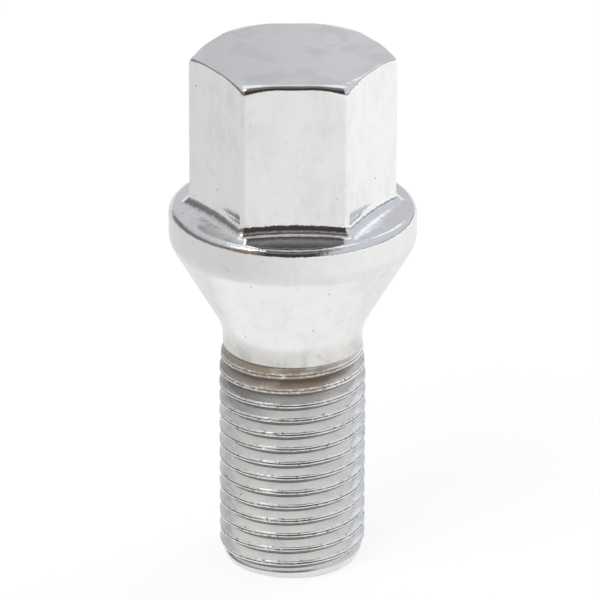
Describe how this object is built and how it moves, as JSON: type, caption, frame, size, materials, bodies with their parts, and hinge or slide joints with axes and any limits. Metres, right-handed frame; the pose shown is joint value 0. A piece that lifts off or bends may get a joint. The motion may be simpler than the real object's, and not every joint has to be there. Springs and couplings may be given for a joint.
{
  "type": "wheel bolt",
  "caption": "Car wheel bolt with a tall hexagon head, a flange, a tapered cone seat and a right-hand metric thread, bright plated steel.",
  "frame": {"origin": "middle of the flat thread end, on the bolt's axis", "axes": "+Z along the bolt's axis from the thread end to the head, -Y towards one flat of the hexagon, +X towards one corner of the hexagon"},
  "size_m": [0.0234, 0.0234, 0.0512],
  "materials": {
    "plated_steel": "bright plating on forged steel, glossy on the head and seat, duller on the rolled thread"
  },
  "bodies": {
    "root": {"wheel_bolt": "plated_steel"}
  },
  "joints": []
}
